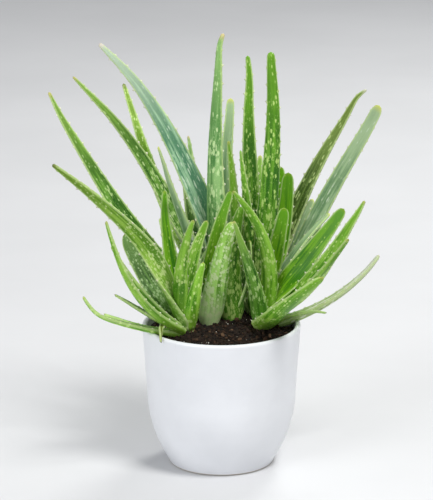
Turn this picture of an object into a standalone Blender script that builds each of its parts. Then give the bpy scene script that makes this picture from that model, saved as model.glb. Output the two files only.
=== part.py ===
"""Potted aloe: a round ceramic pot, its soil, and six rosettes of fleshy leaves that stand in it.

Metres, +Z up. The origin is the centre of the pot's flat underside, and -Y is the pot's front.
"""

import math

import bmesh
import bpy
from collections import namedtuple
from mathutils import Vector

MM = 0.001
GAP = 0.3 * MM  # between pieces that touch
UP = Vector((0.0, 0.0, 1.0))

# Pot: a turned ceramic shell whose wall is nearly straight above and rounds in to its foot
POT_HEIGHT = 122 * MM
RIM_RADIUS = 67.5 * MM
FOOT_RADIUS = 43.5 * MM
SHOULDER_RADIUS = 63.6 * MM
SHOULDER_HEIGHT = 66 * MM
WALL = 4.5 * MM
FLOOR = 6.0 * MM
FOOT_EDGE = 2.0 * MM
POT_SIDES = 48
ARC_STEPS = 6
LIP_POINTS = 5
FOOT_POINTS = 4

# Soil: fills the pot to a little below its rim, slightly higher in the middle
SOIL_DEPTH = 7.0 * MM
SOIL_CROWN = 4.0 * MM
SOIL_RINGS = 3

# Stems: short tapered stumps, sunk in the soil, that the leaves stand around
PLANTING_DEPTH = 7.0 * MM  # from the rim down to the level that the rosettes grow from
STEM_SINK = 14 * MM
STEM_SIDES = 12
STEM_TOP = 0.5  # radius at the top, as a share of the radius at the soil
STEM_ROOT = 0.8  # and at its buried end
SOCKET_CLEARANCE = 0.3 * MM

# Leaves: width and thickness along the leaf, as shares of its widest and thickest
LEAF_RINGS = 9
LEAF_SIDE_POINTS = 3
FOOT_WIDTH = 0.35
FOOT_THICKNESS = 0.5
FOOT_STRETCH = 0.3
FOOT_STANDOFF = 0.35  # from the stem to the middle of the leaf, as a share of its thickness
TAPER_POWER = 2.6
THIN_POWER = 3.0
TAPER_ROUND = 0.7
CHANNEL = 0.35
FACE_TURN = 0.55  # share of the leaf's length over which its face turns
FIRST_RISE = 3.5 * MM
LAST_DROP = 3.0 * MM

Stem = namedtuple("Stem", "x y radius height")
# widest, thickest, a point it passes at its waist, its tip, and the plan angle its upper face looks to
Leaf = namedtuple("Leaf", "width thick waist tip face")

STEMS = {
    "back_left": Stem(0, 45, 11.0, 18),
    "back_right": Stem(29, 38, 11.0, 18),
    "centre": Stem(9, 20, 5.0, 10),
    "front": Stem(-12, 12, 6.0, 12),
    "left": Stem(-28, -12, 11.0, 18),
    "right": Stem(34, 8, 11.0, 19),
}

# Each rosette from its outermost leaf to its innermost, in millimetres and degrees, heights above the rim
LEAVES = {
    "back_left": [
        Leaf(15, 4.0, (-38, 88, 28), (-54, 116, 61), None),
        Leaf(17, 4.5, (-104, 16, 121), (-143, -8, 202), 300),
        Leaf(16, 5.0, (-26, 98, 59), (-33, 126, 104), None),
        Leaf(12, 4.0, (-59, 80, 112), (-85, 108, 184), 290),
        Leaf(15, 5.0, (-4, 104, 58), (-8, 136, 117), None),
        Leaf(15, 4.5, (-67, 45, 131), (-126, 48, 203), 290),
        Leaf(12, 4.0, (-30, 18, 81), (-53, 0, 154), 60),
        Leaf(10, 3.5, (-17, 84, 77), (-29, 106, 138), 270),
        Leaf(14, 4.0, (4, 76, 97), (8, 94, 174), 270),
        Leaf(19, 5.0, (-33, 58, 129), (-105, 84, 224), 275),
        Leaf(17, 5.0, (-5, 33, 160), (2, 29, 244), 60),
    ],
    "back_right": [
        Leaf(15, 5.0, (62, 80, 31), (85, 108, 59), None),
        Leaf(15, 4.0, (31, 81, 73), (34, 104, 121), 270),
        Leaf(15, 4.5, (59, 52, 53), (79, 60, 93), 240),
        Leaf(18, 4.5, (98, 22, 119), (131, 8, 187), 240),
        Leaf(11, 4.0, (44, 68, 67), (52, 80, 117), 260),
        Leaf(17, 4.5, (89, 64, 133), (125, 78, 185), 240),
        Leaf(12, 4.0, (46, 15, 55), (53, 8, 99), 100),
        Leaf(10, 4.0, (52, 38, 71), (58, 42, 120), 130),
        Leaf(11, 3.5, (13, 40, 79), (6, 32, 151), 270),
        Leaf(19, 5.0, (41, 26, 131), (40, 16, 231), 90),
        Leaf(10, 3.5, (22, 32, 86), (16, 28, 144), 80),
        Leaf(15, 4.5, (26, 50, 130), (22, 58, 219), 270),
    ],
    "left": [
        Leaf(8, 3.0, (-80, -46, 19), (-114, -66, 43), None),
        Leaf(7, 3.0, (-73, -24, 5), (-99, -30, 17), None),
        Leaf(6, 2.5, (-51, -40, 5), (-50, -50, -3), None),
        Leaf(9, 3.0, (-66, -4, 11), (-91, 4, 24), None),
        Leaf(10, 3.5, (-70, -55, 43), (-94, -76, 110), None),
        Leaf(10, 3.5, (-68, -31, 40), (-91, -44, 80), None),
        Leaf(16, 4.5, (-61, 7, 40), (-82, 22, 73), None),
        Leaf(19, 4.5, (-92, -28, 107), (-139, -48, 150), 250),
        Leaf(15, 4.5, (-43, 10, 54), (-48, 19, 111), 270),
        Leaf(13, 4.0, (-35, -24, 49), (-23, -32, 99), 90),
        Leaf(10, 3.5, (-21, -23, 34), (-15, -26, 61), 90),
        Leaf(13, 4.0, (-25, -4, 49), (-12, 0, 90), 270),
    ],
    "front": [
        Leaf(19, 6.0, (-4, -2, 38), (10, -12, 92), 90),
        Leaf(11, 3.5, (-17, 20, 32), (-11, 24, 58), None),
        Leaf(18, 4.5, (-6, 15, 54), (8, 17, 111), 255),
    ],
    "centre": [
        Leaf(15, 4.5, (9, 12, 52), (17, 8, 100), 90),
        Leaf(12, 4.0, (18, 24, 26), (24, 28, 65), None),
    ],
    "right": [
        Leaf(7, 2.5, (67, 3, 7), (90, 5, 7), None),
        Leaf(9, 3.5, (97, 18, 18), (135, 32, 51), None),
        Leaf(20, 4.0, (57, -56, 33), (83, -78, 63), None),
        Leaf(14, 4.0, (73, -33, 42), (104, -62, 91), None),
        Leaf(10, 3.5, (25, -14, 46), (10, -20, 95), 90),
        Leaf(18, 4.5, (84, -21, 54), (118, -42, 118), 240),
        Leaf(11, 3.5, (36, -5, 68), (9, -9, 118), 90),
        Leaf(20, 5.0, (66, 3, 47), (103, -4, 101), 240),
        Leaf(11, 3.5, (62, 20, 54), (92, 19, 91), None),
    ],
}

LEAF_COLOURS = {
    "back_left": (0.16, 0.30, 0.18),
    "back_right": (0.17, 0.32, 0.12),
    "centre": (0.22, 0.38, 0.10),
    "front": (0.26, 0.42, 0.16),
    "left": (0.27, 0.44, 0.10),
    "right": (0.26, 0.43, 0.09),
}


def clear_scene():
    for obj in list(bpy.data.objects):
        bpy.data.objects.remove(obj, do_unlink=True)


def new_collection(name):
    collection = bpy.data.collections.new(name)
    bpy.context.scene.collection.children.link(collection)
    return collection


def new_material(name, colour, roughness):
    material = bpy.data.materials.new(name)
    material.use_nodes = True
    shader = material.node_tree.nodes["Principled BSDF"]
    shader.inputs["Base Color"].default_value = (*colour, 1.0)
    shader.inputs["Roughness"].default_value = roughness
    shader.inputs["Metallic"].default_value = 0.0
    return material


def new_object(name, bm, collection, material=None):
    mesh = bpy.data.meshes.new(name)
    bm.to_mesh(mesh)
    bm.free()
    if material:
        mesh.materials.append(material)
    obj = bpy.data.objects.new(name, mesh)
    collection.objects.link(obj)
    return obj


def turned(name, profile, sides, collection, material=None):
    """A closed profile of (radius, height) points, from the top of the outer side down, turned about Z."""
    bm = bmesh.new()
    points = [bm.verts.new((radius, 0.0, height)) for radius, height in profile]
    for upper, lower in zip(points, points[1:]):
        bm.edges.new((upper, lower))
    obj = new_object(name, bm, collection, material)
    screw = obj.modifiers.new("Turn", "SCREW")
    screw.steps = sides
    screw.render_steps = sides
    screw.use_merge_vertices = True
    screw.merge_threshold = 0.00001
    screw.use_smooth_shade = True
    return obj


def pot_radius(height):
    """The pot's outer radius at a height: a straight wall, and below the shoulder an arc that it runs into."""
    if height >= SHOULDER_HEIGHT:
        share = (height - SHOULDER_HEIGHT) / (POT_HEIGHT - SHOULDER_HEIGHT)
        return SHOULDER_RADIUS + (RIM_RADIUS - SHOULDER_RADIUS) * share
    inset = SHOULDER_RADIUS - FOOT_RADIUS
    arc = (inset ** 2 + SHOULDER_HEIGHT ** 2) / (2 * inset)
    return SHOULDER_RADIUS - arc + math.sqrt(arc ** 2 - (SHOULDER_HEIGHT - height) ** 2)


def arc_points(centre, radius, start, end, count):
    """Points on an arc in the (radius, height) plane, between two angles in degrees."""
    angles = [math.radians(start + (end - start) * i / (count - 1)) for i in range(count)]
    return [(centre[0] + radius * math.cos(a), centre[1] + radius * math.sin(a)) for a in angles]


def wall_heights(low, high):
    """Heights for the wall's points: both ends, the shoulder, and a few on the arc below it."""
    arc = [low + (SHOULDER_HEIGHT - low) * i / ARC_STEPS for i in range(ARC_STEPS)]
    return arc + [SHOULDER_HEIGHT, high]


def pot_profile():
    lip = WALL / 2
    lip_height = POT_HEIGHT - lip
    inside = [(pot_radius(z) - WALL, z) for z in wall_heights(FLOOR, lip_height)]
    over_lip = arc_points((pot_radius(lip_height) - lip, lip_height), lip, 180, 0, LIP_POINTS)
    outside = [(pot_radius(z), z) for z in reversed(wall_heights(FOOT_EDGE, lip_height))]
    foot_centre = (pot_radius(FOOT_EDGE) - FOOT_EDGE, FOOT_EDGE)
    edge = arc_points(foot_centre, FOOT_EDGE, 0, -90, FOOT_POINTS)
    return [(0.0, FLOOR), *inside, *over_lip[1:-1], *outside, *edge[1:], (0.0, 0.0)]


def bed_height(x, y, depth):
    """Height of a slightly domed surface whose edge lies at a depth below the rim."""
    reach = pot_radius(POT_HEIGHT - depth) - WALL
    return POT_HEIGHT - depth + SOIL_CROWN * (1.0 - (x * x + y * y) / reach ** 2)


def soil_profile():
    edge_height = POT_HEIGHT - SOIL_DEPTH
    reach = pot_radius(edge_height) - WALL - GAP
    surface = [reach * i / SOIL_RINGS for i in range(SOIL_RINGS)]
    side = [(pot_radius(z) - WALL - GAP, z) for z in reversed(wall_heights(FLOOR + GAP, edge_height))]
    return [(r, bed_height(r, 0.0, SOIL_DEPTH)) for r in surface] + side + [(0.0, FLOOR + GAP)]


def stem_base(stem):
    """The point on the stem's axis that its heights are measured from."""
    x, y = stem.x * MM, stem.y * MM
    return Vector((x, y, bed_height(x, y, PLANTING_DEPTH)))


def stem_radius(stem, rise):
    """Radius of the stump at a height above its base."""
    share = max(0.0, rise / (stem.height * MM))
    return stem.radius * MM * (1.0 - (1.0 - STEM_TOP) * share)


def stem_profile(stem, spare=0.0):
    top = stem.height * MM + spare
    shoulder = stem_radius(stem, top) + spare
    return [
        (0.0, top),
        (0.6 * shoulder, top),
        (shoulder, top - 0.4 * shoulder),
        (stem.radius * MM + spare, 0.0),
        (STEM_ROOT * stem.radius * MM + spare, -STEM_SINK - spare),
        (0.0, -STEM_SINK - spare),
    ]


def make_stem(name, stem, collection, material=None, spare=0.0):
    obj = turned(name, stem_profile(stem, spare), STEM_SIDES, collection, material)
    obj.location = stem_base(stem)
    return obj


def make_soil(collection, cutters, material):
    soil = turned("soil", soil_profile(), POT_SIDES, collection, material)
    for name, stem in STEMS.items():
        cutter = make_stem(f"socket_{name}", stem, cutters, spare=SOCKET_CLEARANCE)
        cutter.hide_render = True
        cutter.display_type = "WIRE"
        cut = soil.modifiers.new(f"Socket {name}", "BOOLEAN")
        cut.operation = "DIFFERENCE"
        cut.solver = "EXACT"
        cut.object = cutter
    return soil


def smooth(share):
    share = min(1.0, max(0.0, share))
    return share * share * (3.0 - 2.0 * share)


def leaf_width(share):
    """Width at a share of the length: narrower at the foot, then widest, then tapering to the tip."""
    foot = FOOT_WIDTH + (1.0 - FOOT_WIDTH) * smooth(share / FOOT_STRETCH)
    return foot * (1.0 - share ** TAPER_POWER) ** TAPER_ROUND


def leaf_thickness(share):
    foot = FOOT_THICKNESS + (1.0 - FOOT_THICKNESS) * smooth(share / FOOT_STRETCH)
    return foot * (1.0 - share ** THIN_POWER) ** TAPER_ROUND


def leaf_line(stem, leaf, rise):
    """Foot, control and tip of the curve that the leaf follows, and the way out from its stem."""
    waist = Vector(leaf.waist) * MM + UP * POT_HEIGHT
    tip = Vector(leaf.tip) * MM + UP * POT_HEIGHT
    axis = stem_base(stem) + UP * rise
    out = waist - axis
    out.z = 0.0
    out.normalize()
    foot = axis + out * (stem_radius(stem, rise) + GAP + leaf.thick * MM * FOOT_STANDOFF)
    lower, upper = (waist - foot).length, (tip - waist).length
    share = lower / (lower + upper)
    rest = 1.0 - share
    control = (waist - foot * rest ** 2 - tip * share ** 2) / (2.0 * share * rest)
    return foot, control, tip, out


def ring_points(centre, side, face, half, thick):
    """A leaf's section: its upper side is a shallow channel, and its lower side is rounded."""
    shares = [2.0 * (i + 1) / (LEAF_SIDE_POINTS + 1) - 1.0 for i in range(LEAF_SIDE_POINTS)]
    upper = [(s, -CHANNEL * thick * (1.0 - s * s)) for s in shares]
    lower = [(s, -thick * math.sqrt(1.0 - s * s)) for s in reversed(shares)]
    outline = [(-1.0, 0.0), *upper, (1.0, 0.0), *lower]
    return [centre + side * (half * s) + face * (n + thick / 2) for s, n in outline]


def leaf_ring(stem, leaf, rise, share):
    foot, control, tip, out = leaf_line(stem, leaf, rise)
    rest = 1.0 - share
    centre = foot * rest ** 2 + control * (2.0 * share * rest) + tip * share ** 2
    along = ((control - foot) * rest + (tip - control) * share).normalized()
    hint = UP - out
    if leaf.face is not None:
        turn = math.radians(leaf.face)
        looks = Vector((math.cos(turn), math.sin(turn), 0.0))
        hint = hint.lerp(looks, smooth(share / FACE_TURN))
    face = (hint - along * hint.dot(along)).normalized()
    half = leaf.width * MM * leaf_width(share) / 2
    return ring_points(centre, along.cross(face), face, half, leaf.thick * MM * leaf_thickness(share))


def make_leaf(name, stem, leaf, rise, collection, material):
    """A loft of unlike sections from the foot to the tip."""
    bm = bmesh.new()
    shares = [math.sin(math.pi / 2 * i / LEAF_RINGS) for i in range(LEAF_RINGS)]
    rings = [[bm.verts.new(p) for p in leaf_ring(stem, leaf, rise, share)] for share in shares]
    apex = bm.verts.new(leaf_line(stem, leaf, rise)[2])
    count = len(rings[0])
    bm.faces.new(rings[0])
    for lower, upper in zip(rings, rings[1:]):
        for i in range(count):
            j = (i + 1) % count
            bm.faces.new((lower[i], lower[j], upper[j], upper[i]))
    for i in range(count):
        bm.faces.new((rings[-1][i], rings[-1][(i + 1) % count], apex))
    bmesh.ops.recalc_face_normals(bm, faces=bm.faces)
    obj = new_object(name, bm, collection, material)
    obj.data.shade_smooth()
    return obj


def make_rosette(name, stem, leaves, collection, material):
    """Leaves stand around their stem, the outermost lowest."""
    for i, leaf in enumerate(leaves):
        share = i / max(1, len(leaves) - 1)
        rise = FIRST_RISE + share * (stem.height * MM - FIRST_RISE - LAST_DROP)
        make_leaf(f"leaf_{name}_{i + 1:02d}", stem, leaf, rise, collection, material)


def main():
    clear_scene()
    collection = new_collection("Potted aloe")
    cutters = new_collection("Cutters")
    ceramic = new_material("glazed_ceramic_white", (0.82, 0.84, 0.87), 0.35)
    earth = new_material("soil_dark", (0.03, 0.02, 0.015), 0.95)
    stump = new_material("stem_pale_green", (0.30, 0.42, 0.16), 0.6)
    turned("pot", pot_profile(), POT_SIDES, collection, ceramic)
    make_soil(collection, cutters, earth)
    for name, stem in STEMS.items():
        make_stem(f"stem_{name}", stem, collection, stump)
        flesh = new_material(f"aloe_{name}", LEAF_COLOURS[name], 0.45)
        make_rosette(name, stem, LEAVES[name], collection, flesh)


main()
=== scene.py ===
"""The looks of the potted aloe: toothed, flecked leaves, ringed crowns, crumbly soil and a glazed pot."""

import itertools
import math
from collections import namedtuple

import bmesh
import bpy
import numpy as np
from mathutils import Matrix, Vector, noise


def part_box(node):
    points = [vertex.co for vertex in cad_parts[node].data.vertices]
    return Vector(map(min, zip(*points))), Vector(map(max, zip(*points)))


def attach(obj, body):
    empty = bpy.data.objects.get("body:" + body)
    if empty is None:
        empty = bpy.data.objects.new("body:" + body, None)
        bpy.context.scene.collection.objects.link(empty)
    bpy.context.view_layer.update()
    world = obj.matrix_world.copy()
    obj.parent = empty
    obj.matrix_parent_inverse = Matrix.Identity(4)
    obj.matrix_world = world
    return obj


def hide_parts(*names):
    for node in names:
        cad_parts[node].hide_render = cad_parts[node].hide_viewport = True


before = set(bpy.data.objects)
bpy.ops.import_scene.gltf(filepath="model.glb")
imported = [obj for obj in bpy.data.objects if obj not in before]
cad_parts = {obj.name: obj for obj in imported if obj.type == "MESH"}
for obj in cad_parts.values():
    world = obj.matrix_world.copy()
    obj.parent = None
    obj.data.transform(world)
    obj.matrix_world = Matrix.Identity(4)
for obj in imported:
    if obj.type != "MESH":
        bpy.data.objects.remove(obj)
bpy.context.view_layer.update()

MM = 0.001
TURN = 2 * math.pi
UP = np.array((0.0, 0.0, 1.0))

# The pot's shape, as the frame has it
POT_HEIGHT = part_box("pot")[1][2]
RIM_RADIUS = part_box("pot")[1][0]
FOOT_RADIUS = 43.5 * MM
SHOULDER_RADIUS = 63.6 * MM
SHOULDER_HEIGHT = 66 * MM
WALL = 4.5 * MM
POT_FLOOR = 6.0 * MM

# What is finer on the pot than in the frame: its rounding inside and out, its foot ring and its slight wave
POT_SIDES = 192
FLOOR_RING = 0.3 * FOOT_RADIUS
LIP_DROP = 1 * MM  # from the middle of the lip's rounding to the first ring of the outer wall
INNER_CORNER = 8 * MM
INNER_ROWS = 39
OUTER_ROWS = 64
FOOT_EDGE = 2.4 * MM
FOOT_RING = 4 * MM
FOOT_RING_ROUNDING = ((1 * MM, 0.3 * MM), (2.5 * MM, 1.0 * MM))
FOOT_HOLLOW = 1.1 * MM
OVAL_WAVE = 0.0006  # of the radius
OVAL_TURN = 0.7
TURNING_WAVE = 0.0004
TURNING_PITCH = 480.0  # radians a metre
LEVEL_FOOT = 3 * MM  # the wave starts above this height

# The soil's surface
SOIL_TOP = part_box("soil")[1][2]
SOIL_DEPTH = 7.0 * MM
SOIL_CROWN = 4.0 * MM
SOIL_GAP = 0.4 * MM  # between the soil and the pot's wall
SOIL_SETTLE = 4 * MM  # over which its lumps flatten out towards the wall
SOIL_SETTLED = 0.8  # how much flatter they are at the wall
SOIL_RINGS = 56
SOIL_RING_EASE = 0.92  # rings lie closer towards the wall
SOIL_SIDES = 180
SOIL_ROWS = 10  # down its side
SOIL_SKIRT = 16 * MM  # from its highest point to the first of them
SOIL_BOTTOM = POT_FLOOR + 1 * MM
SOIL_CORNER = 7 * MM  # how much narrower it is beside the pot's inner corner
SOIL_CORNER_HEIGHT = 9 * MM
# how fine the lumps are, per millimetre, how fast their detail fades, its octaves, and their height
BROAD_LUMPS = (0.06, 1.0, 3, 1.4)
FINE_LUMPS = (0.35, 0.9, 4, 1.1)
LUMPS_PLACE = 3.0
# the tone of the bed between its crumbs, how far it varies, and how fine the variation is, per metre
BED_TONE = (0.35, 0.3, 400)

# The camera stands level with the photographer's eye and looks down on the pot through a long lens
CAMERA_PLACE = (-0.0042, -2.3908, 0.8529)
CAMERA_DOWN = 15.59  # degrees
CAMERA_LENS = 212.04
SENSOR_WIDTH = 36.0
CLIP_END = 100.0

# A plain studio; each light's place, size, power and colour
WORLD_COLOUR = (0.97, 0.98, 1.0, 1.0)
WORLD_STRENGTH = 0.39
AIM = (0.0, 0.0, 0.15)
Light = namedtuple("Light", "place size power colour")
LIGHTS = {
    "key": Light((0.7, -0.8, 2.0), 0.7, 34.0, (1.0, 0.99, 0.97)),
    "fill": Light((-1.6, -1.6, 0.9), 1.2, 22.0, (0.97, 0.98, 1.0)),
    "front": Light((0.4, -2.4, 0.6), 1.0, 1.5, (1.0, 1.0, 1.0)),
    "back": Light((0.6, 1.4, 1.6), 0.7, 20.0, (1.0, 1.0, 0.98)),
}
FLOOR_REACH = 9.0
FLOOR_DROP = 0.0002  # the floor lies this far below the pot's foot

# How a leaf's middle line starts: its foot is this share of the crown's radius out, less so on inner
# leaves, which also start higher; lengths are in millimetres
FOOT_OUT = 0.62
FOOT_INWARD = 0.5
FOOT_RISE = 5.0
FOOT_SINK = 2.0
PATH_POINTS = 400

# Where its sections lie, in millimetres along it
STATION_GAP = 3.0
LEAST_STATIONS = 8
STATION_SPREAD = 1.15  # above 1, sections lie closer towards the tip
LEAST_GAP = 0.22  # between two sections
TIP_GAP = 0.15  # between the last section and the tip
TANGENT_REACH = 0.8  # to each side of a section, where the line's direction is read

# A section: points across each side, the fold of the blade in degrees, its swelling, thickness and margins,
# in millimetres or as shares of the leaf's own width, thickness or length
ACROSS = 9
FOOT_CLASP = 120  # that the foot's section wraps round its crown
WAIST_CLASP = 84
TIP_CLASP = 24
CLASP_EASE = 0.7
CLASP_REACH = 26.0  # millimetres over which the foot opens
FACE_TURN = 0.55  # share of the leaf over which its face turns
FOOT_NARROWING = 0.6
FOOT_SWELL = 13.0
WIDTH_EASE = 0.9
TIP_ROUNDING = 2.5
BLUNT_ROUNDING = 0.9
TIP_THICK = 0.42
FOOT_THICK = 0.68
THICK_EASE = 0.8
THINNEST = 0.15
MARGIN = 0.9  # thickness at the margin
TIP_MARGIN = 0.45
THINNEST_MARGIN = 0.2
UPPER_SHARE = 0.3  # of the thickness, above the middle surface
FOOT_CAP = 0.4  # how far the foot's end stands out, in millimetres
TIP_CAP = 0.15  # share of the last stretch that the tip stays short of the middle line's end
UNDER_SHIFT = 90.0  # keeps the under side's flecks apart from the upper side's
PATTERN_PLACES = 60  # among which each leaf's own pattern is drawn
BULGE_FLAT = 2.4
BULGE_EASE = 0.65

# How far the middle line wanders, over which lengths, and the shares where the wander fades in and out
WANDER = 0.9
WANDER_ACROSS = 31.0
WANDER_DEEP = 37.0
WANDER_IN = 0.3
WANDER_OUT = 0.8

# Teeth: first and last place from the ends, gap and height as a constant plus a share of the leaf's
# width, how unlike they are, and one tooth's back, peak and front, all in millimetres
TOOTH_START = 10.0
TOOTH_END = 6.0
TOOTH_GAP = (5.0, 0.36)
TOOTH_HEIGHT = (0.45, 0.04)
TOOTH_SPREAD = (0.75, 1.25)
TOOTH_OUTLINE = (-1.55, 0.5, 1.35)
TOOTH_STATIONS = (-1.5, 0.5, 1.3)
TOOTH_LIFT = 0.3  # of its height, that the skin beside the margin rises with it
EDGE_ROUNDING = 0.3  # of the margin's thickness
# a tooth's height at the very foot and tip as a share of its full one, and how slowly it grows from there
FOOT_TEETH = (0.45, 30.0)
TIP_TEETH = (0.35, 40.0)

# Crowns, in millimetres and shares of the stem's radius
CROWN_DEPTH = -14.0
CROWN_SHARE = 0.7  # of the stem's height
CROWN_RADIUS = 0.5
CROWN_TAPER = 0.3
CROWN_RINGS = 48
CROWN_SIDES = 40
CROWN_ROUNDING = 0.9
SHEATH_LIP = 0.06
SHEATH_PITCH = 2.6
CROWN_WOBBLE = 0.05
WOBBLE_PLACE = (2.0, 0.3)  # how fast the wobble changes round the crown and up it

Stem = namedtuple("Stem", "x y radius height")
# width at the foot, thickness, waist and tip, both at or close to the frame's (heights above the rim), plan
# angle of the upper face, look, and the width just before the tip as a share of the width at the foot
Leaf = namedtuple("Leaf", "width thick waist tip face look blunt")

STEMS = {
    "back_left": Stem(0, 45, 11.0, 18),
    "back_right": Stem(29, 38, 11.0, 18),
    "centre": Stem(9, 20, 5.0, 10),
    "front": Stem(-12, 12, 6.0, 12),
    "left": Stem(-28, -12, 11.0, 18),
    "right": Stem(34, 8, 11.0, 19),
}

LEAVES = {
    "back_left": [
        Leaf(19, 4.5, (-38, 88, 28), (-54, 116, 61), None, "deep", 0.15),
        Leaf(25, 5.5, (-104, 16, 121), (-143, -8, 202), 300, "deep", 0.08),
        Leaf(20, 5.5, (-26, 98, 59), (-33, 126, 104), None, "deep", 0.15),
        Leaf(20, 4.5, (-59, 80, 112), (-85, 108, 184), 290, "bent", 0.14),
        Leaf(20, 5.0, (-4, 104, 58), (-8, 136, 117), None, "deep", 0.15),
        Leaf(23, 5.5, (-67, 45, 131), (-126, 48, 203), 290, "deep", 0.08),
        Leaf(15, 4.5, (-30, 18, 81), (-53, 0, 154), 60, "mint", 0.08),
        Leaf(15, 4.0, (-17, 84, 77), (-29, 106, 138), 270, "meadow", 0.12),
        Leaf(20, 4.5, (4, 76, 97), (8, 94, 174), 270, "mint", 0.3),
        Leaf(31, 6.5, (-33, 58, 129), (-105, 84, 224), 275, "blue", 0.1),
        Leaf(26, 6.5, (-5, 33, 160), (2, 29, 244), 60, "meadow", 0.12),
    ],
    "back_right": [
        Leaf(19, 5.0, (62, 80, 31), (85, 108, 59), None, "deep", 0.15),
        Leaf(27, 5.0, (31, 81, 73), (34, 104, 121), 270, "deep", 0.12),
        Leaf(22, 5.0, (59, 52, 53), (79, 60, 93), 240, "mint", 0.2),
        Leaf(21, 5.5, (99, 22, 119), (132, 8, 187), 240, "mint", 0.44),
        Leaf(22, 4.5, (44, 68, 67), (51, 80, 117), 260, "bright", 0.42),
        Leaf(25, 5.5, (89, 64, 133), (125, 78, 185), 240, "olive", 0.08),
        Leaf(22, 4.5, (46, 15, 55), (53, 8, 99), 270, "bright", 0.4),
        Leaf(23, 4.5, (51, 38, 71), (57, 42, 121), 270, "bright", 0.4),
        Leaf(18, 4.5, (13, 40, 79), (6, 32, 151), 270, "lime", 0.14),
        Leaf(25, 5.5, (42, 26, 131), (41, 16, 231), 90, "vivid", 0.25),
        Leaf(16, 4.5, (22, 32, 86), (16, 28, 144), 80, "vivid", 0.1),
        Leaf(25, 5.5, (24, 50, 138), (22, 58, 219), 270, "vivid", 0.14),
    ],
    "left": [
        Leaf(12, 4.5, (-80, -46, 19), (-114, -66, 43), None, "lime", 0.12),
        Leaf(11, 3.5, (-73, -24, 5), (-99, -30, 17), None, "lime", 0.15),
        Leaf(7, 3.0, (-51, -40, 5), (-50, -50, -3), None, "dry", 0.3),
        Leaf(10, 3.5, (-66, -4, 11), (-91, 4, 24), None, "lime", 0.2),
        Leaf(15, 4.5, (-70, -55, 43), (-94, -76, 110), None, "lime", 0.12),
        Leaf(17, 4.5, (-68, -31, 40), (-91, -44, 80), None, "lime", 0.12),
        Leaf(30, 6.0, (-61, 7, 40), (-82, 22, 73), 250, "dusky", 0.42),
        Leaf(23, 6.0, (-92, -28, 107), (-139, -48, 150), 250, "bent", 0.12),
        Leaf(20, 5.0, (-43, 10, 54), (-48, 19, 111), 270, "bright", 0.2),
        Leaf(19, 4.5, (-35, -24, 49), (-23, -32, 99), 90, "lime", 0.16),
        Leaf(19, 4.0, (-21, -23, 34), (-15, -26, 61), 90, "lime", 0.16),
        Leaf(21, 4.5, (-25, -4, 49), (-12, 0, 90), 270, "lime", 0.2),
    ],
    "front": [
        Leaf(26, 8.0, (-4, -2, 38), (10, -12, 92), 90, "frosted", 0.32),
        Leaf(19, 4.5, (-17, 20, 32), (-11, 24, 58), None, "meadow", 0.25),
        Leaf(23, 5.0, (-6, 15, 54), (8, 17, 111), 255, "bright", 0.22),
    ],
    "centre": [
        Leaf(27, 5.5, (9, 12, 52), (17, 8, 100), 90, "vivid", 0.2),
        # this inner leaf takes the dark deep look as painted shade for the shadowed middle of the rosette
        Leaf(21, 4.5, (18, 24, 26), (24, 28, 65), None, "deep", 0.25),
    ],
    "right": [
        Leaf(8, 3.0, (67, 3, 7), (90, 5, 7), None, "lime", 0.2),
        Leaf(14, 6.0, (97, 18, 18), (135, 32, 51), None, "bleached", 0.4),
        Leaf(28, 5.5, (57, -56, 33), (83, -78, 63), None, "lime", 0.3),
        Leaf(21, 4.5, (73, -33, 42), (104, -62, 91), None, "lime", 0.2),
        Leaf(18, 4.5, (25, -14, 46), (10, -20, 95), 90, "deep", 0.12),
        Leaf(25, 5.5, (84, -21, 54), (118, -42, 118), 240, "lime", 0.08),
        Leaf(20, 4.5, (36, -5, 68), (9, -9, 118), 90, "lime", 0.12),
        Leaf(29, 5.5, (66, 3, 47), (103, -4, 101), 240, "bright", 0.26),
        Leaf(19, 4.5, (62, 20, 54), (92, 19, 91), None, "mint", 0.2),
    ],
}

# A leaf whose last stretch curls: how far its tip is carried, in millimetres, and from which share of it
HOOKS = {
    "back_left_11": ((3, 0, -1), 0.93),
    "back_right_06": ((4, 0, -2), 0.93),
    "back_right_12": ((-3, 0, 1), 0.85),
    "left_08": ((-3, 0, 3), 0.8),
}

# A leaf that bends sharply: the corner its middle line turns at, and how closely it follows the corner
KNEES = {
    "left_01": ((-104, -58, 22), 3.0),
    "left_08": ((-58, -18, 77), 3.0),
}


def smooth(share):
    share = np.clip(share, 0.0, 1.0)
    return share * share * (3.0 - 2.0 * share)


def unit(vectors):
    return vectors / np.linalg.norm(vectors, axis=-1, keepdims=True)


def pot_radius(height):
    """The pot's outer radius: a straight wall that rounds in to the foot below the shoulder."""
    if height >= SHOULDER_HEIGHT:
        share = (height - SHOULDER_HEIGHT) / (POT_HEIGHT - SHOULDER_HEIGHT)
        return SHOULDER_RADIUS + (RIM_RADIUS - SHOULDER_RADIUS) * share
    inset = SHOULDER_RADIUS - FOOT_RADIUS
    arc = (inset ** 2 + SHOULDER_HEIGHT ** 2) / (2 * inset)
    return SHOULDER_RADIUS - arc + math.sqrt(arc ** 2 - (SHOULDER_HEIGHT - height) ** 2)


SOIL_REACH = pot_radius(POT_HEIGHT - SOIL_DEPTH) - WALL


def soil_height(x, y):
    return POT_HEIGHT - SOIL_DEPTH + SOIL_CROWN * (1.0 - (x * x + y * y) / SOIL_REACH ** 2)


# ---------------------------------------------------------------- node materials


def srgb(red, green, blue):
    """A colour given as a screen shows it, as the shader's linear values."""
    def linear(value):
        value /= 255.0
        return value / 12.92 if value <= 0.04045 else ((value + 0.055) / 1.055) ** 2.4
    return (linear(red), linear(green), linear(blue), 1.0)


def put(tree, kind, inputs=None, **settings):
    """A node with its settings, and each input filled with a value or a link."""
    made = tree.nodes.new(kind)
    for key, value in settings.items():
        setattr(made, key, value)
    for key, value in (inputs or {}).items():
        if isinstance(value, bpy.types.NodeSocket):
            tree.links.new(value, made.inputs[key])
        else:
            made.inputs[key].default_value = value
    return made


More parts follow.
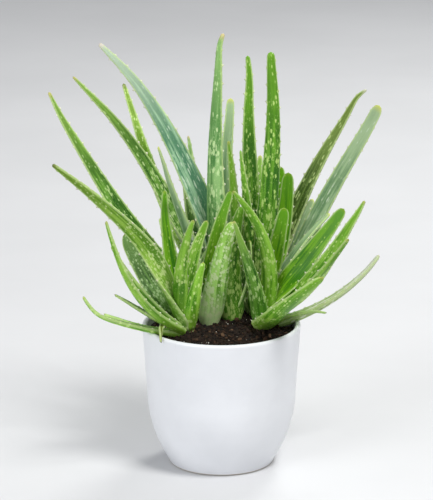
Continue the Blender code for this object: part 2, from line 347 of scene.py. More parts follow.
def fill(tree, shader, values):
    """The shader's own sockets, each filled with a constant or a link."""
    for key, value in values.items():
        if isinstance(value, bpy.types.NodeSocket):
            tree.links.new(value, shader.inputs[key])
        else:
            shader.inputs[key].default_value = value


def math_node(tree, operation, first, second=0.0):
    return put(tree, "ShaderNodeMath", {0: first, 1: second}, operation=operation).outputs[0]


def times(tree, first, second):
    return math_node(tree, "MULTIPLY", first, second)


def weighed(tree, first, first_share, second, second_share):
    return math_node(tree, "ADD", times(tree, first, first_share), times(tree, second, second_share))


def ease(tree, value, low, high, start=0.0, end=1.0):
    """A smooth step of a value from start at low to end at high."""
    inputs = {"Value": value, "From Min": low, "From Max": high, "To Min": start, "To Max": end}
    return put(tree, "ShaderNodeMapRange", inputs, interpolation_type="SMOOTHSTEP").outputs[0]


def blend(tree, factor, first, second, mode="MIX"):
    inputs = {0: factor, 6: first, 7: second}
    return put(tree, "ShaderNodeMix", inputs, data_type="RGBA", blend_type=mode).outputs[2]


def stretched(tree, vector, scales):
    return put(tree, "ShaderNodeVectorMath", {0: vector, 1: scales}, operation="MULTIPLY").outputs[0]


def noise_node(tree, vector, scale=1.0, detail=3.0, roughness=0.55):
    inputs = {"Vector": vector, "Scale": scale, "Detail": detail, "Roughness": roughness}
    return put(tree, "ShaderNodeTexNoise", inputs).outputs[0]


def relief(tree, height, strength, distance):
    inputs = {"Strength": strength, "Distance": distance, "Height": height}
    return put(tree, "ShaderNodeBump", inputs).outputs[0]


def new_material(name):
    material = bpy.data.materials.new(name)
    material.use_nodes = True
    tree = material.node_tree
    return material, tree, tree.nodes["Principled BSDF"]


def object_place(tree):
    return put(tree, "ShaderNodeTexCoord").outputs["Object"]


def flecks(tree, place, size, amount, softness=0.12):
    """Scattered oval flecks of unlike sizes; amount is the largest fleck's radius as a share of its cell."""
    wide, long = size
    ragged = stretched(tree, place, (1.6 / wide, 2.4 / long, 1.0))
    ragged = noise_node(tree, ragged, detail=3.0, roughness=0.7)
    shift = times(tree, math_node(tree, "SUBTRACT", ragged, 0.5), 0.9)
    cells = stretched(tree, place, (1.0 / wide, 1.0 / long, 1.0))
    moved = put(tree, "ShaderNodeCombineXYZ", {0: shift, 1: shift}).outputs[0]
    cells = put(tree, "ShaderNodeVectorMath", {0: cells, 1: moved}, operation="ADD").outputs[0]
    found = put(tree, "ShaderNodeTexVoronoi", {"Vector": cells, "Scale": 1.0, "Randomness": 0.85})
    chance = put(tree, "ShaderNodeSeparateXYZ", {0: found.outputs["Color"]}).outputs[0]
    radius = times(tree, ease(tree, chance, 0.15, 0.9), amount)
    away = math_node(tree, "SUBTRACT", found.outputs["Distance"], radius)
    return ease(tree, away, -softness, softness, 1.0, 0.0)


# Each look: dark and light flesh, the tints near the foot and the tip, the dry point, the flecks' colour,
# their size across and along in millimetres, how many there are at the foot and at the tip, and roughness
Look = namedtuple("Look", "dark light foot tip point fleck size many few rough")

LOOKS = {
    "blue": Look((76, 134, 98), (160, 204, 162), (120, 170, 116), (206, 222, 196), (232, 216, 206),
                 (214, 236, 208), (1.7, 8.5), 0.6, 0.14, 0.46),
    "mint": Look((98, 138, 90), (158, 188, 140), (98, 148, 74), (166, 190, 146), (196, 200, 90),
                 (204, 220, 190), (2.2, 9.0), 0.5, 0.16, 0.5),
    "meadow": Look((70, 126, 58), (146, 190, 118), (100, 154, 60), (140, 184, 104), (206, 184, 134),
                   (202, 228, 166), (1.6, 5.8), 0.56, 0.4, 0.44),
    "deep": Look((36, 88, 16), (104, 154, 56), (84, 138, 44), (134, 174, 68), (186, 176, 104),
                 (188, 216, 142), (1.7, 5.0), 0.52, 0.3, 0.42),
    "olive": Look((60, 88, 22), (114, 142, 66), (96, 138, 62), (118, 142, 54), (214, 214, 188),
                  (192, 214, 136), (2.1, 6.0), 0.55, 0.32, 0.46),
    "vivid": Look((36, 94, 4), (100, 154, 40), (84, 142, 36), (98, 152, 26), (104, 156, 34),
                  (186, 214, 122), (1.7, 4.6), 0.6, 0.36, 0.42),
    "lime": Look((66, 130, 6), (146, 198, 68), (156, 208, 66), (118, 174, 36), (160, 164, 78),
                 (200, 226, 138), (1.9, 3.8), 0.46, 0.34, 0.44),
    "bright": Look((48, 118, 0), (118, 176, 22), (150, 206, 56), (92, 158, 6), (128, 158, 30),
                   (182, 216, 98), (2.0, 4.2), 0.34, 0.2, 0.42),
    "frosted": Look((92, 150, 40), (172, 220, 112), (226, 248, 190), (122, 174, 44), (172, 180, 84),
                    (214, 230, 178), (1.9, 3.2), 0.66, 0.52, 0.5),
    "dusky": Look((44, 82, 18), (98, 140, 62), (84, 122, 38), (108, 148, 70), (140, 140, 80),
                  (164, 194, 132), (1.8, 2.8), 0.6, 0.5, 0.5),
    "bent": Look((84, 138, 18), (150, 194, 72), (126, 172, 78), (108, 140, 26), (96, 104, 34),
                 (204, 226, 150), (1.9, 3.4), 0.56, 0.3, 0.44),
    "bleached": Look((150, 180, 96), (222, 232, 198), (140, 184, 66), (226, 230, 212), (206, 202, 172),
                     (236, 242, 222), (1.8, 6.0), 0.45, 0.35, 0.54),
    "dry": Look((86, 112, 22), (150, 164, 66), (128, 172, 50), (118, 110, 46), (86, 66, 40),
                (178, 184, 104), (2.0, 4.0), 0.4, 0.2, 0.62),
}

# the leaf margin's real pale colour, also used as a painted highlight along the margins
MARGIN_AND_HIGHLIGHT_COLOUR = srgb(200, 222, 150)
TOOTH_COLOUR = srgb(232, 232, 206)

# How fine the leaf's patterns are, in cycles a millimetre across it and along it
STREAKS = (0.42, 0.016, 1.0)
CLOUDS = (0.09, 0.03, 1.0)
FINE = (2.2, 0.5, 1.0)


def flesh(name, look):
    """Waxy leaf skin: lengthwise streaks, flecks, pale margins widened into a painted highlight, white teeth
    and a dry point.
    """
    material, tree, shader = new_material("flesh_" + name)
    place = put(tree, "ShaderNodeAttribute", attribute_name="leaf_place").outputs["Vector"]
    mask = put(tree, "ShaderNodeAttribute", attribute_name="leaf_mask").outputs["Vector"]
    share, inset, tone = put(tree, "ShaderNodeSeparateXYZ", {0: mask}).outputs

    streaks = noise_node(tree, stretched(tree, place, STREAKS), detail=3.0, roughness=0.6)
    clouds = noise_node(tree, stretched(tree, place, CLOUDS), detail=2.0)
    fine = noise_node(tree, stretched(tree, place, FINE), detail=4.0, roughness=0.65)
    body = weighed(tree, streaks, 0.65, clouds, 0.35)
    colour = blend(tree, ease(tree, body, 0.43, 0.58), srgb(*look.dark), srgb(*look.light))
    colour = blend(tree, ease(tree, share, 0.0, 0.42, 0.75, 0.0), colour, srgb(*look.foot))
    colour = blend(tree, ease(tree, share, 0.55, 1.0, 0.0, 0.8), colour, srgb(*look.tip))

    amount = ease(tree, share, 0.15, 0.95, look.many, look.few)
    amount = times(tree, amount, ease(tree, clouds, 0.32, 0.58, 0.7, 1.15))
    small_size = (look.size[0] * 0.45, look.size[1] * 0.4)
    spots = flecks(tree, place, look.size, amount)
    small = flecks(tree, place, small_size, times(tree, amount, 0.7))
    colour = blend(tree, times(tree, spots, 0.88), colour, srgb(*look.fleck))
    colour = blend(tree, times(tree, small, 0.4), colour, srgb(*look.fleck))
    colour = blend(tree, ease(tree, fine, 0.35, 0.7, 0.0, 0.2), colour, srgb(*look.light))

    # pale margin band: real pale margins, widened so the band also paints the highlight along each margin
    colour = blend(tree, ease(tree, inset, 0.2, 1.25, 0.62, 0.0), colour, MARGIN_AND_HIGHLIGHT_COLOUR)
    point = times(tree, ease(tree, share, 0.965, 1.0), 0.85)
    colour = blend(tree, point, colour, srgb(*look.point))
    colour = blend(tree, ease(tree, inset, -0.55, -0.12, 1.0, 0.0), colour, TOOTH_COLOUR)
    shaded = ease(tree, tone, 0.0, 1.0, 0.8, 1.07)
    tinted = put(tree, "ShaderNodeCombineColor", {0: shaded, 1: shaded, 2: shaded}).outputs[0]
    colour = blend(tree, 1.0, colour, tinted, "MULTIPLY")

    grain = weighed(tree, streaks, 0.6, fine, 0.4)
    fill(tree, shader, {
        "Base Color": colour,
        "Roughness": ease(tree, fine, 0.2, 0.8, look.rough - 0.07, look.rough + 0.1),
        "Subsurface Weight": 0.08,
        "Subsurface Radius": (0.5, 1.0, 0.25),
        "Subsurface Scale": 2.0 * MM,
        "Specular IOR Level": 0.24,
        "Coat Weight": 0.03,
        "Coat Roughness": 0.3,
        "Normal": relief(tree, grain, strength=0.35, distance=0.5 * MM),
    })
    return material


def glaze():
    """Satin white glaze with faint pooling, pinholes and a bare foot."""
    material, tree, shader = new_material("glazed_ceramic")
    place = object_place(tree)
    cloud = noise_node(tree, place, scale=26.0, detail=3.0)
    grain = noise_node(tree, place, scale=900.0, detail=2.0)
    colour = blend(tree, ease(tree, cloud, 0.3, 0.7), srgb(224, 226, 230), srgb(229, 231, 235))
    height = put(tree, "ShaderNodeSeparateXYZ", {0: place}).outputs[2]
    bare = ease(tree, height, 0.6 * MM, 1.6 * MM, 1.0, 0.0)
    colour = blend(tree, bare, colour, srgb(214, 206, 192))
    holes = flecks(tree, place, (7 * MM, 7 * MM), 0.09, softness=0.02)
    colour = blend(tree, times(tree, holes, 0.25), colour, srgb(205, 203, 198))
    gloss = ease(tree, cloud, 0.25, 0.75, 0.3, 0.4)
    fill(tree, shader, {
        "Base Color": colour,
        "Roughness": math_node(tree, "MAXIMUM", gloss, times(tree, bare, 0.85)),
        "Specular IOR Level": 0.3,
        "Coat Weight": 0.1,
        "Coat Roughness": 0.2,
        "Normal": relief(tree, weighed(tree, cloud, 0.6, grain, 0.1), strength=0.1, distance=0.4 * MM),
    })
    return material


def earth(name, dark, mid, light, scale):
    """Damp potting soil, mottled at a given scale, with a tone of its own for each crumb."""
    material, tree, shader = new_material(name)
    place = object_place(tree)
    tone = put(tree, "ShaderNodeAttribute", attribute_name="crumb_tone").outputs["Fac"]
    mottle = noise_node(tree, place, scale, detail=5.0, roughness=0.7)
    mixed = weighed(tree, tone, 0.6, mottle, 0.4)
    colour = blend(tree, ease(tree, mixed, 0.2, 0.55), srgb(*dark), srgb(*mid))
    colour = blend(tree, ease(tree, mixed, 0.62, 0.85), colour, srgb(*light))
    fill(tree, shader, {
        "Base Color": colour,
        "Roughness": ease(tree, mottle, 0.3, 0.7, 0.7, 0.98),
        "Specular IOR Level": 0.3,
        "Normal": relief(tree, mottle, strength=0.8, distance=0.6 * MM),
    })
    return material


def crown_skin():
    """Pale ringed stem with the brown rims of old sheaths."""
    material, tree, shader = new_material("crown_skin")
    rings = noise_node(tree, stretched(tree, object_place(tree), (60.0, 60.0, 700.0)), detail=3.0)
    colour = blend(tree, ease(tree, rings, 0.35, 0.65), srgb(96, 118, 46), srgb(170, 178, 120))
    colour = blend(tree, ease(tree, rings, 0.66, 0.74), colour, srgb(112, 84, 52))
    fill(tree, shader, {
        "Base Color": colour,
        "Roughness": ease(tree, rings, 0.3, 0.7, 0.45, 0.75),
        "Normal": relief(tree, rings, strength=0.5, distance=0.5 * MM),
    })
    return material


# ---------------------------------------------------------------- meshes


def new_piece(name, points, faces, material, attributes=None, smooth_faces=True):
    mesh = bpy.data.meshes.new(name)
    mesh.from_pydata([tuple(p) for p in points], [], [tuple(f) for f in faces])
    mesh.materials.append(material)
    for key, (kind, values) in (attributes or {}).items():
        layer = mesh.attributes.new(key, kind, "POINT")
        field = "vector" if kind == "FLOAT_VECTOR" else "value"
        layer.data.foreach_set(field, np.asarray(values, np.float32).ravel())
    if smooth_faces:
        mesh.shade_smooth()
    piece = bpy.data.objects.new(name, mesh)
    bpy.context.scene.collection.objects.link(piece)
    return piece


def band(low, high, sides):
    """The faces between two rings of points, each given by its first point's number."""
    return [
        (low + k, high + k, high + (k + 1) % sides, low + (k + 1) % sides)
        for k in range(sides)
    ]


def stem_base(stem):
    x, y = stem.x * MM, stem.y * MM
    return np.array((x, y, soil_height(x, y)))


def leaf_path(stem, leaf, order, hook, knee):
    """The leaf's middle line, finely sampled, with the way out from its crown."""
    rim = UP * POT_HEIGHT
    waist = np.array(leaf.waist) * MM + rim
    tip = np.array(leaf.tip) * MM + rim
    base = stem_base(stem)
    out = unit((waist - base) * (1.0, 1.0, 0.0))
    foot = base + out * stem.radius * MM * (FOOT_OUT - FOOT_INWARD * order)
    foot = foot + UP * (order * FOOT_RISE - FOOT_SINK) * MM
    carry, start = hook or ((0, 0, 0), 0.5)
    carry = np.array(carry) * MM
    tip = tip - carry
    if knee:
        control, weight = np.array(knee[0]) * MM + rim, knee[1]
    else:
        lower, upper = np.linalg.norm(waist - foot), np.linalg.norm(tip - waist)
        share = lower / (lower + upper)
        left = 1.0 - share
        control, weight = (waist - foot * left ** 2 - tip * share ** 2) / (2.0 * share * left), 1.0
    t = np.linspace(0.0, 1.0, PATH_POINTS)[:, None]
    pull = 2 * weight * t * (1 - t)
    line = (foot * (1 - t) ** 2 + control * pull + tip * t ** 2) / ((1 - t) ** 2 + pull + t ** 2)
    line = line + carry * np.clip((t - start) / (1.0 - start), 0.0, 1.0) ** 2
    return line, out


def tooth_places(rng, length, gap):
    """Places along one margin, in millimetres, each with its tooth's height."""
    places = []
    at = TOOTH_START + gap * rng.random()
    while at < length - TOOTH_END:
        places.append((at, rng.uniform(*TOOTH_SPREAD)))
        at += gap * rng.uniform(*TOOTH_SPREAD)
    return places


def section_places(length, teeth):
    """Where the sections lie: spread along the leaf, closer near its tip, and three more at each tooth."""
    count = max(LEAST_STATIONS, int(length / STATION_GAP))
    marks = [length * (1 - (1 - i / count) ** STATION_SPREAD) for i in range(count)]
    marks += [at + step for side in teeth for at, _ in side for step in TOOTH_STATIONS]
    marks = np.array(sorted(marks))
    keep = np.concatenate([[True], np.diff(marks) > LEAST_GAP])
    return marks[keep & (marks < length - TIP_GAP)]


def face_directions(along, out, share, plan_angle):
    """The way the upper face looks at each section: inwards and up, then turned to its plan angle."""
    hint = UP - out
    face = unit(hint - along * (along @ hint)[:, None])
    if plan_angle is None:
        return face
    turn = math.radians(plan_angle)
    looks = np.array((math.cos(turn), math.sin(turn), 0.0))
    wanted = unit(looks - along * (along @ looks)[:, None])
    angle = np.arctan2((np.cross(face, wanted) * along).sum(1), (face * wanted).sum(1))
    angle = np.unwrap(angle)
    middle = angle[np.searchsorted(share, FACE_TURN)]
    angle = (angle - TURN * round(middle / TURN)) * smooth(share / FACE_TURN)
    return face * np.cos(angle)[:, None] + np.cross(along, face) * np.sin(angle)[:, None]


def tooth_reach(places, at, length, tall):
    """How far one margin stands out as teeth at each section."""
    reach = np.zeros(len(at))
    for mark, height in places:
        rise = np.interp(at, [mark + step for step in TOOTH_OUTLINE], [0.0, 1.0, 0.0])
        fade = min(1.0, FOOT_TEETH[0] + mark / FOOT_TEETH[1])
        fade *= min(1.0, TIP_TEETH[0] + (length - mark) / TIP_TEETH[1])
        reach = np.maximum(reach, rise * height * tall * fade)
    return reach


def make_leaf(name, stem, leaf, order, material, rng):
    """A channelled blade with toothed margins, built section by section from foot to tip."""
    line, out = leaf_path(stem, leaf, order, HOOKS.get(name), KNEES.get(name))
    steps = np.linalg.norm(np.diff(line, axis=0), axis=1) / MM
    along_line = np.concatenate([[0.0], np.cumsum(steps)])
    length = along_line[-1]

    def on_line(distances):
        return np.stack([np.interp(distances, along_line, line[:, k]) for k in range(3)], 1)

    gap = TOOTH_GAP[0] + TOOTH_GAP[1] * leaf.width
    tall = TOOTH_HEIGHT[0] + TOOTH_HEIGHT[1] * leaf.width
    teeth = [tooth_places(rng, length, gap) for _ in range(2)]
    at = section_places(length, teeth)
    share = at / length
    centre = on_line(at)
    along = unit(on_line(at + TANGENT_REACH) - on_line(at - TANGENT_REACH))
    face = face_directions(along, out, share, leaf.face)
    side = np.cross(along, face)

    phase = rng.uniform(0, TURN, 2)
    wander = WANDER * smooth(share / WANDER_IN) * (1 - smooth((share - WANDER_OUT) / (1 - WANDER_OUT)))
    centre = centre + side * (wander * np.sin(at / WANDER_ACROSS + phase[0]))[:, None] * MM
    centre = centre + face * (wander * np.sin(at / WANDER_DEEP + phase[1]))[:, None] * MM

    rounding = max(TIP_ROUNDING, BLUNT_ROUNDING * leaf.blunt * leaf.width)
    tip_end = np.sqrt(1.0 - np.clip((at - (length - rounding)) / rounding, 0.0, 1.0) ** 2)
    swell = FOOT_NARROWING + (1 - FOOT_NARROWING) * smooth(at / FOOT_SWELL)
    taper = leaf.blunt + (1 - leaf.blunt) * (1 - share) ** WIDTH_EASE
    half = leaf.width / 2 * swell * taper * tip_end
    thick = leaf.thick * (TIP_THICK + FOOT_THICK * (1 - share) ** THICK_EASE) * np.maximum(tip_end, THINNEST)
    edge = (MARGIN + (TIP_MARGIN - MARGIN) * share) * np.maximum(tip_end, THINNEST_MARGIN)
    clasp = TIP_CLASP + (WAIST_CLASP - TIP_CLASP) * (1 - share) ** CLASP_EASE
    bend = np.radians(clasp + (FOOT_CLASP - WAIST_CLASP) * (1 - smooth(at / CLASP_REACH))) / 2
    reach = [tooth_reach(places, at, length, tall) for places in teeth]

    pattern = rng.uniform(0, PATTERN_PLACES)
    tone = rng.random()
    points, places, masks = [], [], []

    def add(s, offset, stand, inset, shift):
        """Points at share s across every section, offset from its middle surface, standing out sideways."""
        outward = math.copysign(1.0, s) * stand
        x = half * np.sin(s * bend) / bend - np.sin(s * bend) * offset + outward * np.cos(s * bend)
        z = half * (1 - np.cos(s * bend)) / bend + np.cos(s * bend) * offset + outward * np.sin(s * bend)
        points.append(centre + (side * x[:, None] + face * z[:, None]) * MM)
        places.append(np.stack([s * half + shift, at, np.full_like(at, pattern)], 1))
        masks.append(np.stack([share, inset, np.full_like(at, tone)], 1))

    def add_skin(shares, depth, shift):
        """One skin of the blade, from margin to margin, at a signed share of the thickness."""
        for s in shares:
            lift = TOOTH_LIFT * reach[int(s > 0)] * (abs(s) == 1.0)
            bulge = (1 - abs(s) ** BULGE_FLAT) ** BULGE_EASE
            offset = depth * thick * bulge + math.copysign(0.5, depth) * edge
            add(s, offset, lift, (1 - abs(s)) * half - lift, shift)

    across = np.sin(np.linspace(-1.0, 1.0, ACROSS) * math.pi / 2)
    add_skin(across, UPPER_SHARE, 0.0)
    add(1.0, 0.0, reach[1] + edge * EDGE_ROUNDING, -reach[1], 0.0)
    add_skin(across[::-1], UPPER_SHARE - 1, UNDER_SHIFT)
    add(-1.0, 0.0, reach[0] + edge * EDGE_ROUNDING, -reach[0], 0.0)

    count, rings = len(points), len(at)
    first = centre[0] - along[0] * FOOT_CAP * MM
    last = line[-1] + (centre[-1] - line[-1]) * TIP_CAP
    verts = np.vstack([np.stack(points, 1).reshape(-1, 3), first, last])
    place = np.vstack([np.stack(places, 1).reshape(-1, 3), (0.0, 0.0, pattern), (0.0, length, pattern)])
    mask = np.vstack([np.stack(masks, 1).reshape(-1, 3), (0.0, 2.0, tone), (1.0, 1.0, tone)])
    faces = []
    for r in range(rings - 1):
        faces += band(r * count, (r + 1) * count, count)
    top = (rings - 1) * count
    for i in range(count):
        j = (i + 1) % count
        faces.append((j, rings * count, i))
        faces.append((top + i, rings * count + 1, top + j))
    values = {"leaf_place": ("FLOAT_VECTOR", place), "leaf_mask": ("FLOAT_VECTOR", mask)}
    return new_piece("aloe_" + name, verts, faces, material, values)


def make_crown(name, stem, material):
    """The short ringed stump that a rosette grows from, closed, with a lip for each old sheath."""
    base = stem_base(stem)
    top_height = CROWN_SHARE * stem.height
    points, faces = [], []
    for i in range(CROWN_RINGS):
        share = i / CROWN_RINGS
        height = CROWN_DEPTH + (top_height - CROWN_DEPTH) * share
        radius = stem.radius * (CROWN_RADIUS - CROWN_TAPER * max(0.0, height) / top_height)
        radius *= 1.0 + SHEATH_LIP * math.sin(height * SHEATH_PITCH) ** 2
        radius *= math.sqrt(1.0 - max(0.0, (share - CROWN_ROUNDING) / (1.0 - CROWN_ROUNDING)) ** 2)
        for k in range(CROWN_SIDES):
            angle = TURN * k / CROWN_SIDES
            x, y = math.cos(angle), math.sin(angle)
            spot = Vector((x * WOBBLE_PLACE[0], y * WOBBLE_PLACE[0], height * WOBBLE_PLACE[1]))
            wobble = 1.0 + CROWN_WOBBLE * noise.noise(spot)
            points.append(base + np.array((x * radius * wobble, y * radius * wobble, height)) * MM)
    bottom, top = len(points), len(points) + 1
    points += [base + UP * CROWN_DEPTH * MM, base + UP * top_height * MM]
    last_ring = (CROWN_RINGS - 1) * CROWN_SIDES
    for k in range(CROWN_SIDES):
        j = (k + 1) % CROWN_SIDES
        for low in range(0, last_ring, CROWN_SIDES):
            high = low + CROWN_SIDES
            faces.append((low + k, low + j, high + j, high + k))
        faces.append((j, k, bottom))
        faces.append((last_ring + k, last_ring + j, top))
    return new_piece("crown_" + name, points, faces, material)


def rounded(centre_radius, centre_height, size, degrees):
    """Points of the pot's profile on an arc of a given size."""
    return [
        (centre_radius + size * math.cos(math.radians(a)), centre_height + size * math.sin(math.radians(a)))
        for a in degrees
    ]


def pot_profile():
    """Radius and height from the middle of the floor up the inside, over the lip and down to the hollow."""
    lip = WALL / 2
    lip_height = POT_HEIGHT - lip
    corner_height = POT_FLOOR + INNER_CORNER
    profile = [(0.0, POT_FLOOR), (FLOOR_RING, POT_FLOOR)]
    corner_reach = pot_radius(corner_height) - WALL - INNER_CORNER
    profile += rounded(corner_reach, corner_height, INNER_CORNER, np.linspace(-90, 0, 9))
    for i in range(1, INNER_ROWS + 1):
        z = corner_height + (lip_height - POT_FLOOR - INNER_CORNER) * i / INNER_ROWS
        profile.append((pot_radius(z) - WALL, z))
    profile += rounded(pot_radius(lip_height) - lip, lip_height, lip, range(165, -1, -15))
    profile += [(pot_radius(z), z) for z in np.linspace(lip_height - LIP_DROP, FOOT_EDGE, OUTER_ROWS)]
    foot = pot_radius(FOOT_EDGE) - FOOT_EDGE
    profile += rounded(foot, FOOT_EDGE, FOOT_EDGE, range(-15, -91, -15))
    ring = foot - FOOT_RING
    profile.append((ring, 0.0))
    profile += [(ring - inward, z) for inward, z in FOOT_RING_ROUNDING]
    profile.append((0.0, FOOT_HOLLOW))
    return profile


def make_pot(material):
    """A finely turned shell: rounded lip, straight wall, rounded foot and a shallow hollow beneath."""
    profile = pot_profile()
    points, starts = [], []
    for radius, z in profile:
        starts.append(len(points))
        if radius == 0.0:
            points.append((0.0, 0.0, z))
            continue
        for k in range(POT_SIDES):
            angle = TURN * k / POT_SIDES
            wave = 1.0 + OVAL_WAVE * math.sin(2 * angle + OVAL_TURN)
            wave += TURNING_WAVE * math.sin(z * TURNING_PITCH)
            if z < LEVEL_FOOT:
                wave = 1.0
            points.append((radius * wave * math.cos(angle), radius * wave * math.sin(angle), z))
    first, last = starts[0], starts[-1]
    faces = []
    for a, b in zip(starts, starts[1:]):
        for k in range(POT_SIDES):
            j = (k + 1) % POT_SIDES
            if a == first:
                faces.append((a, b + k, b + j))
            elif b == last:
                faces.append((a + k, b, a + j))
            else:
                faces.append((a + k, b + k, b + j, a + j))
    return new_piece("pot_shell", points, faces, material)


def soil_lumps(x, y):
    """How far the soil's surface stands above its dome at a place, in metres."""
    spot = Vector((x / MM, y / MM, LUMPS_PLACE))
    rise = 0.0
    for pitch, fade, octaves, height in (BROAD_LUMPS, FINE_LUMPS):
        rise += noise.fractal(spot * pitch, fade, 2.0, octaves) * height
    return rise * MM


def soil_surface(x, y):
    return soil_height(x, y) + soil_lumps(x, y)


def make_soil(material):
    """A closed, lumpy plug that fills the pot."""
    reach = SOIL_REACH - SOIL_GAP
    points, starts = [(0.0, 0.0, soil_surface(0, 0))], []
    corners = [TURN * k / SOIL_SIDES for k in range(SOIL_SIDES)]
    for i in range(1, SOIL_RINGS + 1):
        radius = reach * (i / SOIL_RINGS) ** SOIL_RING_EASE
        starts.append(len(points))
        for a in corners:
            x, y = radius * math.cos(a), radius * math.sin(a)
            settled = 1.0 - smooth((radius - reach + SOIL_SETTLE) / SOIL_SETTLE) * SOIL_SETTLED
            points.append((x, y, soil_height(x, y) + soil_lumps(x, y) * float(settled)))
    for z in np.linspace(SOIL_TOP - SOIL_SKIRT, SOIL_BOTTOM + 1 * MM, SOIL_ROWS):
        starts.append(len(points))
        radius = pot_radius(z) - WALL - SOIL_GAP
        if z < POT_FLOOR + SOIL_CORNER_HEIGHT:
            radius -= SOIL_CORNER
        points += [(radius * math.cos(a), radius * math.sin(a), z) for a in corners]
    points.append((0.0, 0.0, SOIL_BOTTOM))
    faces = []
    for k in range(SOIL_SIDES):
        j = (k + 1) % SOIL_SIDES
        faces.append((0, starts[0] + k, starts[0] + j))
        faces.append((starts[-1] + j, starts[-1] + k, len(points) - 1))
    for a, b in zip(starts, starts[1:]):
        faces += band(a, b, SOIL_SIDES)
    level, spread, pitch = BED_TONE
    tone = [level + spread * noise.noise(Vector(p) * pitch) for p in points]
    return new_piece("soil_bed", points, faces, material, {"crumb_tone": ("FLOAT", tone)})


def ball(level):
    """Points and faces of a unit icosphere."""
    bm = bmesh.new()
    bmesh.ops.create_icosphere(bm, subdivisions=level, radius=1.0)
    points = np.array([v.co for v in bm.verts])
    faces = np.array([[v.index for v in f.verts] for f in bm.faces])
    bm.free()
    return points, faces


# What is strewn: how many lumps, their least and greatest size in millimetres, the range that they are
# squashed by, how far they stand out as a share of their size, the range of their tones, the distance kept
# from the wall in millimetres, and how fine they are
Strewn = namedtuple("Strewn", "count sizes squash sink tones keep_in level", defaults=[(0.0, 1.0), 2.0, 1])
STREWN = {
    "soil_crumbs": Strewn(3600, (0.7, 3.4), (0.6, 1.2), 0.25),
    "soil_clods": Strewn(240, (2.6, 5.4), (0.6, 1.1), 0.1, (0.1, 0.8), 4.0, 2),
    "soil_chips": Strewn(260, (1.0, 4.6), (0.3, 1.4), 0.35),
    "soil_perlite": Strewn(130, (0.5, 1.7), (0.7, 1.2), 0.45),
}
SIZE_EASE = 1.8  # small lumps are the more common ones
KNOBS = 0.28

FIBRES = 170
FIBRE_RINGS = 6
FIBRE_SIDES = 4
FIBRE_KEEP_IN = 5.0
FIBRE_SLOPE = (-0.15, 0.25)
FIBRE_LENGTH = (3.0, 9.0)
FIBRE_THICK = (0.25, 0.7)
FIBRE_BOW = 0.18
FIBRE_END = 0.25  # of its thickness


def scatter(name, material, rng):
    """Lumps of unlike shape strewn on the soil, all in one piece."""
    kind = STREWN[name]
    small, large = kind.sizes
    shape, shape_faces = ball(kind.level)
    points, faces, tone = [], [], []
    for _ in range(kind.count):
        size = small * (large / small) ** (rng.random() ** SIZE_EASE) * MM
        radius = (SOIL_REACH - kind.keep_in * MM - size) * math.sqrt(rng.random())
        angle = rng.uniform(0, TURN)
        x, y = radius * math.cos(angle), radius * math.sin(angle)
        stretch = np.array([rng.uniform(*kind.squash) for _ in range(3)])
        knobs = 1.0 + rng.uniform(-KNOBS, KNOBS, len(shape))
        turn = np.linalg.qr(rng.normal(size=(3, 3)))[0]
        turn *= np.sign(np.linalg.det(turn))
        lump = (shape * knobs[:, None] * stretch) @ turn.T * size / 2
        faces.append(shape_faces + len(shape) * len(points))
        points.append(lump + (x, y, soil_surface(x, y) + size * kind.sink))
        tone += [rng.uniform(*kind.tones)] * len(shape)
    values = {"crumb_tone": ("FLOAT", tone)}
    return new_piece(name, np.vstack(points), np.vstack(faces), material, values, smooth_faces=False)


def make_fibres(material, rng):
    """Short bent slivers of bark and root, four-sided rods with narrow ends, in one piece."""
    points, faces, tone = [], [], []
    for _ in range(FIBRES):
        radius = (SOIL_REACH - FIBRE_KEEP_IN * MM) * math.sqrt(rng.random())
        angle = rng.uniform(0, TURN)
        spot = np.array((radius * math.cos(angle), radius * math.sin(angle), 0.0))
        way = rng.uniform(0, TURN)
        ahead = np.array((math.cos(way), math.sin(way), rng.uniform(*FIBRE_SLOPE)))
        cross = np.array((-math.sin(way), math.cos(way), 0.0))
        length = rng.uniform(*FIBRE_LENGTH) * MM
        thick = rng.uniform(*FIBRE_THICK) * MM
        bow = rng.uniform(-FIBRE_BOW, FIBRE_BOW)
        start = len(points)
        for i in range(FIBRE_RINGS):
            t = i / (FIBRE_RINGS - 1) - 0.5
            p = spot + ahead * length * t + cross * length * bow * (4 * t * t - 1)
            p[2] += soil_surface(p[0], p[1]) + thick / 2
            fat = thick * (FIBRE_END + (1 - FIBRE_END) * math.sqrt(max(0.0, 1 - (2 * t) ** 2)))
            for k in range(FIBRE_SIDES):
                a = TURN / FIBRE_SIDES * k
                points.append(p + cross * math.cos(a) * fat / 2 + UP * math.sin(a) * fat / 3)
            tone += [rng.random()] * FIBRE_SIDES
        end = len(points) - FIBRE_SIDES
        for low in range(start, end, FIBRE_SIDES):
            faces += band(low, low + FIBRE_SIDES, FIBRE_SIDES)
        faces.append(tuple(start + k for k in range(FIBRE_SIDES)))
        faces.append(tuple(end + k for k in reversed(range(FIBRE_SIDES))))
    return new_piece("soil_fibres", points, faces, material, {"crumb_tone": ("FLOAT", tone)})


# ---------------------------------------------------------------- the scene


def place_camera():
    camera = bpy.data.objects.new("camera", bpy.data.cameras.new("camera"))
    camera.data.lens = CAMERA_LENS
    camera.data.sensor_width = SENSOR_WIDTH
    camera.data.clip_end = CLIP_END
    camera.location = CAMERA_PLACE
    camera.rotation_euler = (math.radians(90.0 - CAMERA_DOWN), 0.0, 0.0)
    bpy.context.scene.collection.objects.link(camera)
    bpy.context.scene.camera = camera


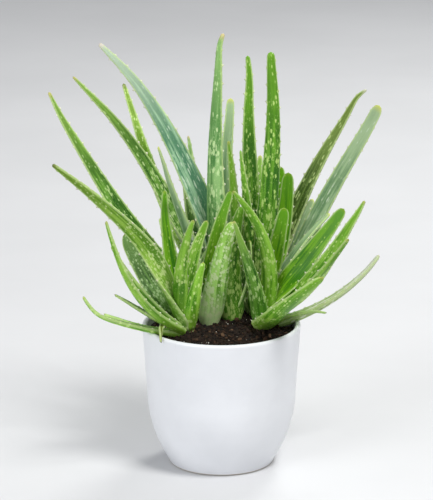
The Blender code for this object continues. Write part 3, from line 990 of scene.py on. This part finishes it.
def light_scene():
    world = bpy.data.worlds.new("studio")
    bpy.context.scene.world = world
    world.use_nodes = True
    background = world.node_tree.nodes["Background"]
    background.inputs["Color"].default_value = WORLD_COLOUR
    background.inputs["Strength"].default_value = WORLD_STRENGTH
    for name, light in LIGHTS.items():
        lamp = bpy.data.lights.new(name, "AREA")
        lamp.shape = "DISK"
        lamp.size = light.size
        lamp.energy = light.power
        lamp.color = light.colour
        placed = bpy.data.objects.new(name, lamp)
        placed.location = light.place
        aim = Vector(AIM) - Vector(light.place)
        placed.rotation_euler = aim.to_track_quat("-Z", "Y").to_euler()
        bpy.context.scene.collection.objects.link(placed)
    bpy.context.scene.view_settings.view_transform = "Standard"


def make_floor():
    material, tree, shader = new_material("studio_floor")
    grain = noise_node(tree, object_place(tree), scale=3.0, detail=4.0)
    colour = blend(tree, ease(tree, grain, 0.3, 0.7), srgb(208, 209, 211), srgb(213, 214, 216))
    fill(tree, shader, {"Base Color": colour, "Roughness": 0.8})
    size = FLOOR_REACH
    corners = [(-size, -size, 0.0), (size, -size, 0.0), (size, size, 0.0), (-size, size, 0.0)]
    floor = new_piece("studio_floor", corners, [(0, 1, 2, 3)], material, smooth_faces=False)
    floor.location.z = -FLOOR_DROP


def settle(piece, slot, *nodes):
    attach(piece, "root")
    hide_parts(*nodes)


def strew_soil(bed):
    """Loose crumbs, clods, bark, perlite and fibres, which have no nodes of their own."""
    rng = np.random.default_rng(7)
    chip = earth("bark_chips", (34, 22, 15), (68, 46, 31), (116, 90, 66), 700.0)
    pearl = earth("perlite", (190, 184, 168), (214, 210, 198), (236, 234, 226), 1500.0)
    strewn = [
        scatter("soil_crumbs", bed, rng),
        scatter("soil_clods", bed, rng),
        scatter("soil_chips", chip, rng),
        scatter("soil_perlite", pearl, rng),
        make_fibres(chip, rng),
    ]
    for piece in strewn:
        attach(piece, "root")


def grow_rosettes():
    skin = crown_skin()
    seeds = itertools.count(100)
    fleshes = {name: flesh(name, look) for name, look in LOOKS.items()}
    for rosette, leaves in LEAVES.items():
        stem = STEMS[rosette]
        settle(make_crown(rosette, stem, skin), "stem", "stem_" + rosette)
        for i, leaf in enumerate(leaves):
            name = f"{rosette}_{i + 1:02d}"
            order = i / (len(leaves) - 1)
            rng = np.random.default_rng(next(seeds))
            grown = make_leaf(name, stem, leaf, order, fleshes[leaf.look], rng)
            settle(grown, "aloe_" + rosette, "leaf_" + name)


def main():
    place_camera()
    light_scene()
    make_floor()
    settle(make_pot(glaze()), "pot_ceramic", "pot")
    bed = earth("soil_dark", (14, 11, 8), (38, 26, 18), (74, 52, 36), 900.0)
    settle(make_soil(bed), "soil", "soil")
    strew_soil(bed)
    grow_rosettes()


main()
